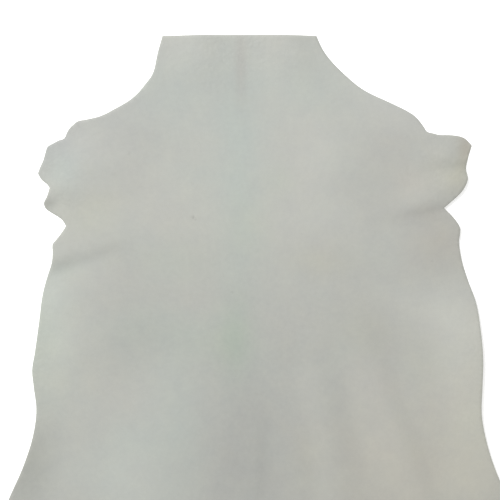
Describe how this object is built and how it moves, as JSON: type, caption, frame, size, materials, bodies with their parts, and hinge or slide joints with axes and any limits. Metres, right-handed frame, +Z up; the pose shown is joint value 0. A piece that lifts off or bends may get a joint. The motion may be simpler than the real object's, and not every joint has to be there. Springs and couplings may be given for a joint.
{
  "type": "raw leather hide",
  "caption": "Whole pale grey cattle hide, untrimmed, with a short neck, shanks and bellies, lying flat grain side up with soft folds.",
  "frame": {"origin": "middle of the hide's box, on the floor that it lies on", "axes": "+Z up out of the grain side, +Y towards the neck, +X to the right as the grain side is seen from above with the neck at the top"},
  "size_m": [2.108, 2.4242, 0.0218],
  "materials": {
    "leather": "matt, unfinished pale grey-green grain"
  },
  "bodies": {
    "root": {"hide": "leather"}
  },
  "joints": []
}
